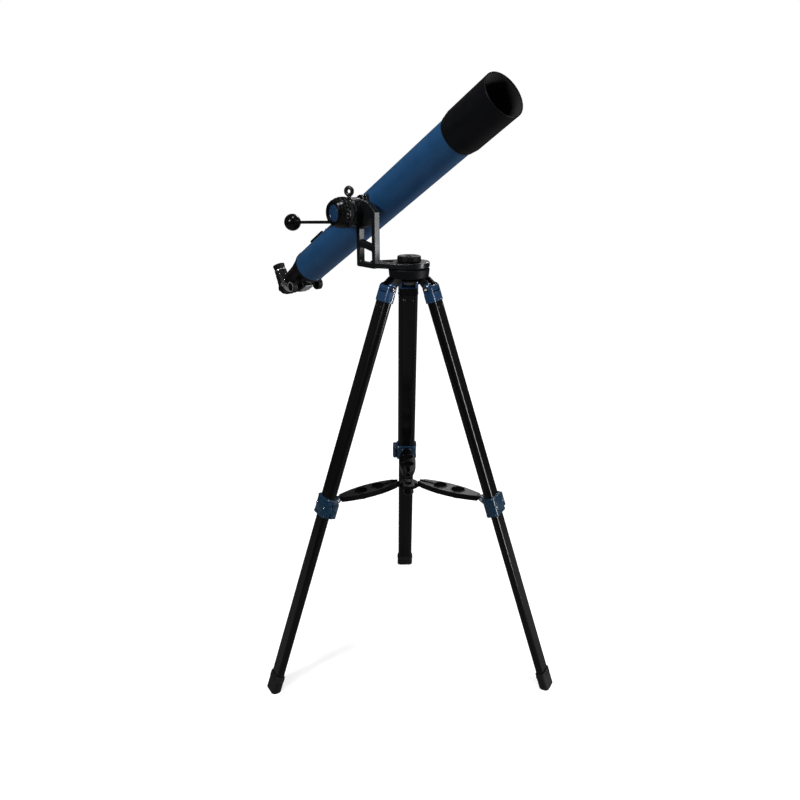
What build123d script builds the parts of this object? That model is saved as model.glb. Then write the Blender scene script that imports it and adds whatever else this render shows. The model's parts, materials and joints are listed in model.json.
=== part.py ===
"""Small refractor telescope on a single-arm altazimuth mount and a folding tripod.

Frame: millimetres, +Z up, origin on the floor under the azimuth axis.  +X is the heading
of the tube and -Y is the knob side of the mount, so the tube tilts in the XZ plane.
"""
from build123d import *
from math import asin, atan2, cos, degrees, hypot, pi, radians, sin, sqrt
import os

os.makedirs("parts", exist_ok=True)

# ---------------------------------------------------------------- driving dimensions
running_gap = 0.05                 # radial clearance of every shaft in its bore

# tripod
hinge_height = 1000.0              # leg pivots above the floor
hinge_radius = 59.1                # leg pivots from the azimuth axis
foot_radius = 404.5                # leg centre lines on the floor
leg_bearings = {"a": 19.8, "b": 139.8, "c": 259.8}     # degrees from +X
leg_upper = (49.0, 24.0, 11.0)     # width, depth, corner radius of the upper section
leg_lower = (43.5, 19.0, 8.5)      # the same for the sliding lower section
leg_wall = 1.5
bracket_end = 33.0                 # visible end of the leg-top bracket, along the leg
upper_end = 561.0                  # end of the upper section, along the leg
collar_start, collar_end = 530.0, 578.0
overlap_length = 85.0              # lower section kept inside the upper one

# tray
tray_pivot_along = 534.5           # outer arm pivots, along the leg
tray_pivot_inward = 24.0           # and inward from its centre line
tray_hub_radius, tray_hub_height = 35.0, 490.0         # inner arm pivots
tray_pin_radius = 3.0
eyepiece_hole_radius = 16.2        # takes 1.25 inch eyepieces
eyepiece_hole_places = (92.0, 142.0)                   # from the azimuth axis

# azimuth bearing
hub_radius = 49.5
hub_bottom, hub_top = 1022.0, 1043.5
plate_bottom, plate_top = 1045.0, 1058.5
spindle_radius = 8.0

# arm, as seen along the altitude axis: X and Z
arm_outer, arm_inner = 75.0, 60.0                      # faces, from the XZ plane
altitude_x, altitude_z = -110.0, 1171.0
arm_front, arm_rear = -36.5, -105.5
arm_member = 11.5                                      # width of the two uprights
drum_radius, drum_end = 33.5, 99.0
shaft_radius = 12.0

# tube assembly, measured along the tube from the altitude axis
tube_pitch = 30.7                                      # degrees above level
tube_rise, tube_side_shift = 9.0, 1.5
tube_radius, tube_wall = 45.2, 1.2
tube_back, tube_front = -343.0, 330.0
cell_end = 352.0
shield_back, shield_front, shield_radius = 314.4, 458.7, 50.6
lens_radius = 41.0
clear_aperture_radius = 40.0

# focuser and eyepiece
focuser_end = -450.0
drawtube_radius, drawtube_end = 23.0, -474.0
collar_back, lock_place = -458.0, -466.0               # collar on the drawtube's end
pinion_station, pinion_drop = -402.0, 33.0
pinion_pitch_radius, pinion_teeth = 6.0, 12
barrel_radius = 15.875                                 # 1.25 inch
eyepiece_station = -496.0


# ---------------------------------------------------------------- places
def direction(bearing, climb=0.0):
    """Unit vector at a bearing from +X and a climb above level."""
    b, c = radians(bearing), radians(climb)
    return Vector(cos(b) * cos(c), sin(b) * cos(c), sin(c))


leg_tilt = degrees(atan2(foot_radius - hinge_radius, hinge_height))
leg_length = hypot(foot_radius - hinge_radius, hinge_height)


def leg_section(bearing, along):
    """Plane across a leg: x tangential, y outward, z down the leg."""
    down = direction(bearing, leg_tilt - 90)
    hinge = direction(bearing) * hinge_radius + Vector(0, 0, hinge_height)
    return Plane(origin=hinge + down * along, x_dir=direction(bearing + 90), z_dir=down)


def leg_profile(bearing, shift=0.0):
    """Plane along a leg: x down the leg, y inward; shifted tangentially."""
    tangent = direction(bearing + 90)
    hinge = direction(bearing) * hinge_radius + Vector(0, 0, hinge_height)
    return Plane(
        origin=hinge + tangent * shift, x_dir=direction(bearing, leg_tilt - 90), z_dir=tangent
    )


def radial_plane(bearing, shift=0.0):
    """Upright plane through the azimuth axis: x outward, y up."""
    return Plane(
        origin=direction(bearing + 90) * shift,
        x_dir=direction(bearing),
        z_dir=direction(bearing - 90),
    )


knob_side = Vector(0, -1, 0)
tube_forward = direction(0, tube_pitch)
tube_upward = direction(180, 90 - tube_pitch)
tube_origin = (
    Vector(altitude_x, 0, altitude_z) + tube_upward * tube_rise + knob_side * tube_side_shift
)
tube_axis = Axis(tube_origin, tube_forward)
tube_side = Plane(origin=tube_origin, x_dir=tube_forward, z_dir=knob_side)


def tube_section(station):
    """Plane across the tube: x away from the knob side, y up, z forward."""
    return Plane(
        origin=tube_origin + tube_forward * station, x_dir=Vector(0, 1, 0), z_dir=tube_forward
    )


def tube_level(height, station=0.0):
    """Plane facing up from the tube: x forward, y away from the knob side."""
    return Plane(
        origin=tube_origin + tube_forward * station + tube_upward * height,
        x_dir=tube_forward,
        z_dir=tube_upward,
    )


def mount_face(distance):
    """Upright plane facing the knob side: x and y are the frame's X and Z."""
    return Plane(origin=knob_side * distance, x_dir=Vector(1, 0, 0), z_dir=knob_side)


altitude_axis = Axis((altitude_x, 0, altitude_z), knob_side)
altitude_profile = Plane(
    origin=(altitude_x, 0, altitude_z), x_dir=knob_side, z_dir=Vector(1, 0, 0)
)


def dome_middle(apex, rim, radius):
    """Point halfway along an arc from the rim to the apex on the axis of a domed surface."""
    rise = apex - rim
    sphere = (radius ** 2 + rise ** 2) / (2 * abs(rise))
    half = asin(radius / sphere) / 2
    return apex - (1 if rise > 0 else -1) * sphere * (1 - cos(half)), sphere * sin(half)


def save(builder, name):
    """Label a finished piece and write it."""
    builder.part.label = name
    export_step(builder.part, f"parts/{name}.step")


# ---------------------------------------------------------------- tripod head
ear_inner, ear_thickness, ear_radius = 9.5, 7.4, 10.8
bolt_radius, bolt_head_radius, bolt_head_height = 4.0, 7.0, 3.5
bracket_half_width = 25.0

with BuildPart() as tripod_hub:
    with BuildSketch(Plane.XZ):
        Polygon(
            (0, 1012), (27, 1012), (30, 1015), (30, hub_bottom), (46, hub_bottom), (47.5, 1023.5),
            (hub_radius, 1041), (48, hub_top), (0, hub_top), align=None,
        )
    revolve(axis=Axis.Z)
    for bearing in leg_bearings.values():
        for ear_start in (ear_inner, -ear_inner - ear_thickness):
            with BuildSketch(radial_plane(bearing, ear_start + ear_thickness)):
                with Locations((hinge_radius, hinge_height)):
                    Circle(ear_radius)
                with Locations((37, hub_bottom + 1)):
                    Rectangle(20, 2)
                make_hull()
            extrude(amount=ear_thickness)
        with BuildSketch(leg_profile(bearing)):
            Circle(bolt_radius)
        extrude(amount=bracket_half_width, both=True, mode=Mode.SUBTRACT)
    with BuildSketch(Plane.XY.offset(hub_top)):
        Circle(spindle_radius)
    extrude(amount=-50, mode=Mode.SUBTRACT)
save(tripod_hub, "tripod_hub")

with BuildPart() as leg_pivot_bolts:
    for bearing in leg_bearings.values():
        with BuildSketch(leg_profile(bearing)):
            Circle(bolt_radius)
        extrude(amount=bracket_half_width + 1, both=True)
        for side in (1, -1):
            with BuildSketch(leg_profile(bearing, side * (bracket_half_width + 0.2))):
                Circle(bolt_head_radius)
            extrude(amount=side * bolt_head_height, taper=12)
save(leg_pivot_bolts, "leg_pivot_bolts")

with BuildPart() as azimuth_spindle:
    with BuildSketch(Plane.XY.offset(1004)):
        RegularPolygon(radius=13, side_count=6)
    extrude(amount=8)
    with BuildSketch(Plane.XY.offset(1012)):
        Circle(spindle_radius)
    extrude(amount=56)
save(azimuth_spindle, "azimuth_spindle")

with BuildPart() as azimuth_thrust_washer:
    with BuildSketch(Plane.XY.offset(hub_top)):
        Circle(42)
        Circle(spindle_radius, mode=Mode.SUBTRACT)
    extrude(amount=plate_bottom - hub_top)
save(azimuth_thrust_washer, "azimuth_thrust_washer")

knob_lobes = 8
with BuildPart() as azimuth_knob:
    with BuildSketch(Plane.XZ):
        with BuildLine():
            Line((0, plate_top + 0.3), (27, plate_top + 0.3))
            Line((27, plate_top + 0.3), (29, plate_top + 2))
            Line((29, plate_top + 2), (28.4, plate_top + 10.5))
            ThreePointArc((28.4, plate_top + 10.5), (27.4, plate_top + 13), (25, plate_top + 14))
            Line((25, plate_top + 14), (20, plate_top + 14))
            dish_height, dish_radius = dome_middle(plate_top + 12.2, plate_top + 14, 20)
            ThreePointArc((20, plate_top + 14), (dish_radius, dish_height), (0, plate_top + 12.2))
            Line((0, plate_top + 12.2), (0, plate_top + 0.3))
        make_face()
    revolve(axis=Axis.Z)
    with BuildSketch(Plane.XY.offset(plate_top + 3)):
        with PolarLocations(33.5, knob_lobes):
            Circle(7)
    extrude(amount=14, mode=Mode.SUBTRACT)
    with BuildSketch(Plane.XY.offset(plate_top)):
        Circle(spindle_radius + running_gap)
    extrude(amount=10, mode=Mode.SUBTRACT)
save(azimuth_knob, "azimuth_knob")


# ---------------------------------------------------------------- legs
def leg_shape(size, growth=0.0):
    """Rounded section of a leg, grown on every side."""
    width, depth, corner = size
    RectangleRounded(width + 2 * growth, depth + 2 * growth, corner + growth)


def make_leg_bracket(bearing):
    """Moulded clevis that plugs into the leg and turns on the hub's ears."""
    with BuildPart() as bracket:
        with BuildSketch(leg_profile(bearing)):
            Circle(13)
            Polygon((0, -13), (bracket_end, -13), (bracket_end, 13), (0, 13), align=None)
        extrude(amount=bracket_half_width, both=True)
        fillet(bracket.edges().filter_by(Axis(
            (0, 0, 0), direction(bearing, leg_tilt - 90))), radius=8)
        with BuildSketch(leg_profile(bearing)):
            Polygon((-15, -15), (11.5, -15), (11.5, 15), (-15, 15), align=None)
        extrude(amount=ear_inner + ear_thickness + 0.1, both=True, mode=Mode.SUBTRACT)
        with BuildSketch(leg_profile(bearing)):
            Circle(bolt_radius + running_gap)
        extrude(amount=bracket_half_width + 1, both=True, mode=Mode.SUBTRACT)
        with BuildSketch(leg_section(bearing, bracket_end)):
            leg_shape(leg_upper, -leg_wall)
        extrude(amount=40)
    return bracket


def make_upper_leg(bearing):
    """Upper section, an oval aluminium tube."""
    with BuildPart() as tube:
        with BuildSketch(leg_section(bearing, bracket_end)):
            leg_shape(leg_upper)
            leg_shape(leg_upper, -leg_wall)
        extrude(amount=upper_end - bracket_end)
        with BuildSketch(leg_section(bearing, bracket_end)):
            leg_shape(leg_upper, -leg_wall)
        extrude(amount=upper_end - bracket_end, mode=Mode.SUBTRACT)
    return tube


def make_lower_leg(bearing):
    """Sliding lower section."""
    start = upper_end - overlap_length
    with BuildPart() as tube:
        with BuildSketch(leg_section(bearing, start)):
            leg_shape(leg_lower)
        extrude(amount=leg_length - 10 - start)
        with BuildSketch(leg_section(bearing, start)):
            leg_shape(leg_lower, -leg_wall)
        extrude(amount=leg_length - 10 - start, mode=Mode.SUBTRACT)
    return tube


def make_foot(bearing):
    """Moulded cap on the end of the leg, cut level with the floor."""
    start = leg_length - 42
    with BuildPart() as foot:
        with BuildSketch(leg_section(bearing, start)):
            leg_shape(leg_lower, 1.6)
        with BuildSketch(leg_section(bearing, start + 14)):
            leg_shape(leg_lower, 2.6)
        loft()
        with BuildSketch(leg_section(bearing, start + 14)):
            leg_shape(leg_lower, 2.6)
        extrude(amount=44)
        with BuildSketch(leg_section(bearing, start - 1)):
            leg_shape(leg_lower)
        extrude(amount=leg_length - 10 - start + 1, mode=Mode.SUBTRACT)
        split(bisect_by=Plane.XY, keep=Keep.TOP)
    return foot


collar_size = (57.0, 32.0, 9.0)
lug_gap, lug_thickness = 6.0, 5.0
lever_pivot = (34.0, 9.0)
lever_start, lever_end = 535.0, 573.0
knuckle_start, knuckle_end = 547.0, 561.0
lever_pin_radius = 2.5


def make_clamp_collar(bearing):
    """Collar on the end of the upper section, with lugs for the tray arm and the lever."""
    with BuildPart() as collar:
        with BuildSketch(leg_section(bearing, collar_start)):
            RectangleRounded(*collar_size)
        extrude(amount=collar_end - collar_start)
        chamfer(collar.edges().group_by(Axis(
            (0, 0, 0), direction(bearing, leg_tilt - 90)))[0], length=1.5)
        for lug_side in (lug_gap, -lug_gap - lug_thickness):
            with BuildSketch(leg_profile(bearing, lug_side)):
                with Locations((tray_pivot_along, tray_pivot_inward)):
                    Circle(7)
                with Locations((tray_pivot_along + 9, 15)):
                    Rectangle(22, 1.5)
                make_hull()
            extrude(amount=lug_thickness)
        with BuildSketch(leg_profile(bearing)):
            with Locations((tray_pivot_along, tray_pivot_inward)):
                Circle(tray_pin_radius + running_gap)
        extrude(amount=20, both=True, mode=Mode.SUBTRACT)
        for lug_start, lug_end in ((lever_start + 2, knuckle_start - 0.3),
                                   (knuckle_end + 0.3, lever_end - 2)):
            with BuildSketch(leg_section(bearing, lug_start)):
                with Locations(lever_pivot):
                    Circle(5)
                with Locations((28, lever_pivot[1])):
                    Rectangle(1, 10)
                make_hull()
            extrude(amount=lug_end - lug_start)
        with BuildSketch(leg_section(bearing, collar_start)):
            with Locations(lever_pivot):
                Circle(lever_pin_radius + running_gap)
        extrude(amount=60, mode=Mode.SUBTRACT)
        with BuildSketch(leg_section(bearing, collar_start - 5)):
            leg_shape(leg_upper)
        extrude(amount=upper_end - collar_start + 5, mode=Mode.SUBTRACT)
        with BuildSketch(leg_section(bearing, upper_end)):
            leg_shape(leg_lower, running_gap)
        extrude(amount=40, mode=Mode.SUBTRACT)
    return collar


def make_clamp_lever(bearing):
    """Flip lever that tightens the collar, with its own pin."""
    with BuildPart() as lever:
        with BuildSketch(leg_section(bearing, lever_start)):
            Polygon((28.8, 2.5), (28.8, -11), (31, -14), (36, -14), (39, -10), (38, 2.5), align=None)
        extrude(amount=lever_end - lever_start)
        with BuildSketch(leg_section(bearing, knuckle_start)):
            with Locations(lever_pivot):
                Circle(5)
            with Locations((33.5, -0.5)):
                Rectangle(7, 2)
            make_hull()
        extrude(amount=knuckle_end - knuckle_start)
        with BuildSketch(leg_section(bearing, lever_start + 3)):
            with Locations(lever_pivot):
                Circle(lever_pin_radius)
        extrude(amount=lever_end - lever_start - 6)
    return lever


# ---------------------------------------------------------------- tray
tilt = radians(leg_tilt)
tray_outer_radius = (
    hinge_radius + tray_pivot_along * sin(tilt) - tray_pivot_inward * cos(tilt)
)
tray_outer_height = (
    hinge_height - tray_pivot_along * cos(tilt) - tray_pivot_inward * sin(tilt)
)
tray_arm_length = hypot(
    tray_outer_radius - tray_hub_radius, tray_outer_height - tray_hub_height
)
tray_arm_climb = degrees(
    atan2(tray_outer_height - tray_hub_height, tray_outer_radius - tray_hub_radius)
)
tongue_half_width = 5.9            # of the arm between the collar's lugs
tab_half_width, fork_depth = 4.0, 37.8                 # hub tabs and the forks they stand in


def tray_plane(bearing):
    """Plane of one tray arm: x outward along it, y tangential, z up."""
    inner = direction(bearing) * tray_hub_radius + Vector(0, 0, tray_hub_height)
    return Plane(
        origin=inner, x_dir=direction(bearing, tray_arm_climb),
        z_dir=direction(bearing + 180, 90 - tray_arm_climb),
    )


def leaf(start, end, end_half_width, half_width):
    """Leaf outline between two stations, widest in the middle."""
    middle = (start + end) / 2
    with BuildLine() as edge:
        ThreePointArc((start, end_half_width), (middle, half_width), (end, end_half_width))
        ThreePointArc((start, -end_half_width), (middle, -half_width), (end, -end_half_width))
        Line((start, end_half_width), (start, -end_half_width))
        Line((end, end_half_width), (end, -end_half_width))
    return make_face(edge.edges())


def make_tray_arm(bearing):
    """Leaf-shaped arm with two eyepiece holes, forked at the hub; its pins are moulded on."""
    plane = tray_plane(bearing)
    across = Plane(origin=plane.origin, x_dir=plane.x_dir, z_dir=plane.y_dir)
    with BuildPart() as arm:
        with BuildSketch(plane.offset(-8)):
            leaf(-4.4, tray_arm_length - 12, 9, 23)
            for side in (1, -1):
                Polygon((-6, side * 4), (-6, side * 14), (9, side * 14), (5, side * 10),
                        align=None, mode=Mode.SUBTRACT)
        extrude(amount=14)
        with BuildSketch(plane.offset(-8)):
            leaf(12, tray_arm_length - 16, 7.5, 20.5)
        extrude(amount=10.5, mode=Mode.SUBTRACT)
        with BuildSketch(plane.offset(-4)):
            with Locations(*[(place - tray_hub_radius, 0) for place in eyepiece_hole_places]):
                Circle(eyepiece_hole_radius + 2.5)
        extrude(amount=10)
        with BuildSketch(plane.offset(-9)):
            with Locations(*[(place - tray_hub_radius, 0) for place in eyepiece_hole_places]):
                Circle(eyepiece_hole_radius)
            with Locations((fork_depth / 2 - 10, 0)):
                Rectangle(fork_depth + 20, 2 * tab_half_width + 0.8)
        extrude(amount=20, mode=Mode.SUBTRACT)
        with BuildSketch(across.offset(-tongue_half_width)):
            with Locations((tray_arm_length, 0)):
                Circle(5.5)
            with Locations((tray_arm_length - 10, 0.5)):
                Rectangle(8, 10)
            make_hull()
        extrude(amount=2 * tongue_half_width)
        with BuildSketch(across):
            with Locations((tray_arm_length, 0)):
                Circle(tray_pin_radius)
        extrude(amount=10.8, both=True)
        with BuildSketch(across):
            Circle(tray_pin_radius)
        extrude(amount=6, both=True)
    return arm


with BuildPart() as tray_hub:
    with BuildSketch(Plane.XZ):
        Polygon(
            (0, tray_hub_height - 40), (11, tray_hub_height - 40), (14, tray_hub_height - 36),
            (12, tray_hub_height - 24), (26, tray_hub_height - 17), (26, tray_hub_height - 9.5),
            (25, tray_hub_height - 8.5), (9, tray_hub_height - 8.5), (8, tray_hub_height - 3),
            (0, tray_hub_height - 3), align=None,
        )
    revolve(axis=Axis.Z)
    for bearing in leg_bearings.values():
        with BuildSketch(radial_plane(bearing, tab_half_width)):
            seat_end = tray_hub_radius + tray_pin_radius + 0.1
            seat_floor = tray_hub_height - tray_pin_radius - 0.1
            Polygon(
                (20, tray_hub_height - 16), (36, tray_hub_height - 11),
                (seat_end + 3.4, tray_hub_height - 5), (seat_end + 3.4, tray_hub_height + 1),
                (seat_end + 2, tray_hub_height + 2.5), (seat_end, tray_hub_height + 2.5),
                (seat_end, seat_floor), (20, seat_floor), align=None,
            )
        extrude(amount=2 * tab_half_width)
save(tray_hub, "tray_hub")

for leg_name, bearing in leg_bearings.items():
    save(make_leg_bracket(bearing), f"leg_bracket_{leg_name}")
    save(make_upper_leg(bearing), f"upper_leg_{leg_name}")
    save(make_lower_leg(bearing), f"lower_leg_{leg_name}")
    save(make_foot(bearing), f"foot_{leg_name}")
    save(make_clamp_collar(bearing), f"clamp_collar_{leg_name}")
    save(make_clamp_lever(bearing), f"clamp_lever_{leg_name}")
    save(make_tray_arm(bearing), f"tray_arm_{leg_name}")

# ---------------------------------------------------------------- mount arm
with BuildPart() as mount_arm:
    with BuildSketch(Plane.XY.offset(plate_bottom)):
        Circle(hub_radius)
        Polygon(
            (-hub_radius, 0), (-74, -arm_inner), (-74, -arm_outer), (arm_front, -arm_outer),
            (29, -40), (0, 0), align=None,
        )
    extrude(amount=plate_top - plate_bottom)
    chamfer(mount_arm.edges().group_by(Axis.Z)[0], length=2.5)
    chamfer(mount_arm.edges().group_by(Axis.Z)[-1], length=1)
    with BuildSketch(Plane.XY.offset(plate_top - 3)) as pocket:
        Polygon((-46, -22), (-66, -52), (-40, -56), (-14, -40), (-32, -20), align=None)
        fillet(pocket.vertices(), radius=4)
    extrude(amount=4, mode=Mode.SUBTRACT)
    with BuildSketch(mount_face(arm_outer)) as frame_outline:
        Polygon(
            (arm_rear, plate_bottom - 1.5), (arm_front, plate_bottom - 1.5), (arm_front, 1173),
            (arm_front - 7, 1181), (-61, 1193), (-106, 1204), (altitude_x, altitude_z),
            (arm_rear, altitude_z), align=None,
        )
        fillet(frame_outline.vertices().group_by(Axis.Y)[0], radius=4)
        with Locations((altitude_x, altitude_z)):
            Circle(drum_radius)
    extrude(amount=-(arm_outer - arm_inner))
    with BuildSketch(mount_face(arm_outer + 1)) as windows:
        left, right = arm_rear + arm_member, arm_front - arm_member
        Polygon((left, 1055.5), (right, 1055.5), (right, 1083), (left, 1092), align=None)
        Polygon((left, 1106), (right, 1097), (right, 1163), (-71, 1139), (left, 1134), align=None)
        fillet(windows.vertices(), radius=3.5)
    extrude(amount=-(arm_outer - arm_inner + 2), mode=Mode.SUBTRACT)
    with BuildSketch(Plane.XY.offset(plate_bottom - 2)):
        Circle(spindle_radius + running_gap)
    extrude(amount=20, mode=Mode.SUBTRACT)
    with BuildSketch(mount_face(arm_inner - 1)):
        with Locations((altitude_x, altitude_z)):
            Circle(shaft_radius + running_gap)
    extrude(amount=20, mode=Mode.SUBTRACT)
save(mount_arm, "mount_arm")

lock_station = 91.0
lock_stem_radius = 4.0
with BuildPart() as altitude_housing:
    with BuildSketch(altitude_profile):
        Polygon(
            (arm_outer, shaft_radius + running_gap), (arm_outer, drum_radius),
            (drum_end - 4, drum_radius), (drum_end - 3, drum_radius - 1.2),
            (drum_end, drum_radius - 1.2), (drum_end, shaft_radius + running_gap), align=None,
        )
    revolve(axis=altitude_axis)
    with BuildSketch(Plane.XY.offset(altitude_z + shaft_radius)):
        with Locations((altitude_x, -lock_station)):
            Circle(lock_stem_radius + running_gap)
    extrude(amount=30, mode=Mode.SUBTRACT)
save(altitude_housing, "altitude_housing")

ring_bearing = -65.0               # direction that the lock screw's ring faces
ring_centre = Vector(altitude_x, -lock_station, altitude_z + drum_radius + 14.2)
ring_profile = Plane(
    origin=ring_centre, x_dir=Vector(0, 0, 1), z_dir=Vector(0, 0, 1).cross(direction(ring_bearing))
)
with BuildPart() as altitude_lock_screw:
    with BuildSketch(Plane.XY.offset(altitude_z + shaft_radius + 0.5)):
        with Locations((altitude_x, -lock_station)):
            Circle(lock_stem_radius)
    extrude(amount=drum_radius - shaft_radius + 4)
    with BuildSketch(Plane.XY.offset(altitude_z + drum_radius + 0.8)):
        with Locations((altitude_x, -lock_station)):
            Circle(5.5)
    extrude(amount=2)
    with BuildSketch(ring_profile):
        with Locations((8.3, 0)):
            RectangleRounded(9.0, 8.0, 3.8)
    revolve(axis=Axis(ring_centre, direction(ring_bearing)))
save(altitude_lock_screw, "altitude_lock_screw")

with BuildPart() as altitude_knob:
    with BuildSketch(altitude_profile):
        with BuildLine():
            Line((99.4, 13), (99.4, 32.5))
            Line((99.4, 32.5), (103, 35))
            Line((103, 35), (114, 35.5))
            ThreePointArc((114, 35.5), (128, 32.8), (137.5, 28.6))
            Line((137.5, 28.6), (140, 27.4))
            Line((140, 27.4), (140, 21))
            Line((140, 21), (137, 20))
            Line((137, 20), (132, 20))
            Line((132, 20), (132, 0))
            Line((132, 0), (128.5, 0))
            Line((128.5, 0), (128.5, shaft_radius + running_gap))
            Line((128.5, shaft_radius + running_gap), (99.4, shaft_radius + running_gap))
            Line((99.4, shaft_radius + running_gap), (99.4, 13))
        make_face()
    revolve(axis=altitude_axis)
    for groove in (106.0, 111.5):
        with BuildSketch(altitude_profile):
            Polygon((groove, 34), (groove + 1, 33.4), (groove + 2, 34), (groove + 2, 38),
                    (groove, 38), align=None)
        revolve(axis=altitude_axis, mode=Mode.SUBTRACT)
    with BuildSketch(mount_face(115.5)):
        with Locations((altitude_x, altitude_z)):
            with PolarLocations(36.8, 24):
                Circle(2.6)
    extrude(amount=15, mode=Mode.SUBTRACT)
save(altitude_knob, "altitude_knob")

with BuildPart() as altitude_knob_cap:
    with BuildSketch(altitude_profile):
        with BuildLine():
            Line((132, 0), (132, 20))
            Line((132, 20), (136, 20))
            ThreePointArc((136, 20), (137.2, 18.5), (137.6, 16))
            Line((137.6, 16), (137.6, 0))
            Line((137.6, 0), (132, 0))
        make_face()
    revolve(axis=altitude_axis)
save(altitude_knob_cap, "altitude_knob_cap")

# ---------------------------------------------------------------- cradle
saddle_outer = arm_inner - 0.2
bar_face = tube_radius + tube_side_shift + 6.0         # outer face of the dovetail bar
saddle_low, saddle_high = -20.5 - tube_rise, 34.5 - tube_rise
saddle_half_length = 28.0
bar_half_width = 18.0
bar_flare = 2.0                                        # undercut of the dovetail sides
bar_base_side = 41.0
bar_slope = bar_flare / (bar_face - bar_base_side)


def dovetail_side(shift=0.0):
    """Plane across the tube whose x is the distance from the XZ plane on the knob side."""
    return Plane(
        origin=tube_origin - knob_side * tube_side_shift + tube_forward * shift,
        x_dir=knob_side, z_dir=tube_forward * -1,
    )


with BuildPart() as altitude_shaft:
    with BuildSketch(mount_face(bar_face + 0.2)):
        with Locations((altitude_x, altitude_z)):
            Circle(shaft_radius)
    extrude(amount=128 - bar_face - 0.2)
save(altitude_shaft, "altitude_shaft")

handle_start = Vector(-149, -60.5, 1143.6)
handle_direction = direction(180, -3.85)
handle_plane = Plane(origin=handle_start, x_dir=Vector(0, 1, 0), z_dir=handle_direction)
handle_rod_radius, handle_ball_radius = 4.0, 22.5
handle_ball_distance = 253.6
clamp_side, clamp_screw_radius = 48.0, 3.0             # clamp screw, from the XZ plane


def saddle_plane(distance):
    """Plane through the altitude axis, parallel to the tube: x forward, y up from the tube."""
    return Plane(
        origin=(altitude_x, -distance, altitude_z), x_dir=tube_forward, z_dir=knob_side
    )


def clamp_plane(height):
    """Plane across the dovetail clamp screw, facing down from the tube."""
    axis_point = tube_origin - knob_side * tube_side_shift + knob_side * clamp_side
    return Plane(
        origin=axis_point - tube_upward * height, x_dir=tube_forward, z_dir=tube_upward * -1
    )


with BuildPart() as dovetail_saddle:
    with BuildSketch(saddle_plane(bar_face + 0.1)):
        with Locations((0, (saddle_low + saddle_high) / 2 + tube_rise)):
            RectangleRounded(2 * saddle_half_length, saddle_high - saddle_low, 14)
    extrude(amount=saddle_outer - bar_face - 0.1)
    with BuildSketch(saddle_plane(bar_face + 0.1)):
        with Locations((-50, -3.5)):
            Circle(8)
        with Locations((-24, 0)):
            Rectangle(8, 36)
        make_hull()
    extrude(amount=saddle_outer - bar_face - 0.1)
    with BuildSketch(handle_plane):
        Circle(7.5)
    extrude(amount=22)
    for jaw in (1, -1):
        with BuildSketch(dovetail_side(-saddle_half_length + 9)):
            Polygon(
                (bar_face + 0.1, jaw * (bar_half_width + bar_flare + 0.1)),
                (bar_base_side + 2, jaw * (bar_half_width + 2 * bar_slope + 0.1)),
                (bar_base_side + 2, jaw * (bar_half_width + 5)),
                (bar_face + 0.1, jaw * (bar_half_width + 7)),
                align=None,
            )
        extrude(amount=-(2 * saddle_half_length - 18))
    with BuildSketch(saddle_plane(saddle_outer)):
        Circle(shaft_radius)
    extrude(amount=-20, mode=Mode.SUBTRACT)
    with BuildSketch(handle_plane.offset(6)):
        Circle(handle_rod_radius)
    extrude(amount=30, mode=Mode.SUBTRACT)
    with BuildSketch(clamp_plane(bar_half_width)):
        Circle(clamp_screw_radius + running_gap)
    extrude(amount=20, mode=Mode.SUBTRACT)
save(dovetail_saddle, "dovetail_saddle")

with BuildPart() as dovetail_clamp_screw:
    with BuildSketch(clamp_plane(bar_half_width + 1.9)):
        Circle(clamp_screw_radius)
    extrude(amount=13)
    with BuildSketch(clamp_plane(bar_half_width + 14)):
        Circle(8.5)
        with PolarLocations(9.6, 6):
            Circle(2.2, mode=Mode.SUBTRACT)
    extrude(amount=9)
    fillet(dovetail_clamp_screw.faces().sort_by(Axis.Z)[0].edges(), radius=0.8)
save(dovetail_clamp_screw, "dovetail_clamp_screw")

with BuildPart() as pan_handle_rod:
    with BuildSketch(handle_plane.offset(6)):
        Circle(handle_rod_radius)
    extrude(amount=handle_ball_distance - 6 - 10)
save(pan_handle_rod, "pan_handle_rod")

with BuildPart() as pan_handle_ball:
    with BuildSketch(Plane(origin=handle_start, x_dir=handle_direction, z_dir=knob_side)):
        with BuildLine():
            neck = handle_ball_distance - sqrt(handle_ball_radius ** 2 - 7.5 ** 2)
            ball_end = handle_ball_distance + handle_ball_radius
            Line((neck - 4, 0), (neck - 4, 6))
            Line((neck - 4, 6), (neck, 7.5))
            ThreePointArc((neck, 7.5), (handle_ball_distance, handle_ball_radius), (ball_end, 0))
            Line((ball_end, 0), (neck - 4, 0))
        make_face()
    revolve(axis=Axis(handle_start, handle_direction))
    with BuildSketch(handle_plane.offset(handle_ball_distance - 40)):
        Circle(handle_rod_radius)
    extrude(amount=30, mode=Mode.SUBTRACT)
save(pan_handle_ball, "pan_handle_ball")

# ---------------------------------------------------------------- tube
bore_radius = tube_radius - tube_wall
bar_half_length = 32.0

with BuildPart() as dovetail_bar:
    with BuildSketch(dovetail_side(-bar_half_length)):
        Polygon(
            (bar_face, bar_half_width + bar_flare), (bar_base_side, bar_half_width),
            (38, bar_half_width), (38, -bar_half_width), (bar_base_side, -bar_half_width),
            (bar_face, -bar_half_width - bar_flare), align=None,
        )
    extrude(amount=-2 * bar_half_length)
    with BuildSketch(tube_section(-bar_half_length - 1)):
        Circle(tube_radius)
    extrude(amount=2 * bar_half_length + 2, mode=Mode.SUBTRACT)
save(dovetail_bar, "dovetail_bar")

with BuildPart() as main_tube:
    with BuildSketch(tube_side):
        Polygon((tube_back, bore_radius), (tube_front, bore_radius), (tube_front, tube_radius),
                (tube_back, tube_radius), align=None)
    revolve(axis=tube_axis)
save(main_tube, "main_tube")

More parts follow.
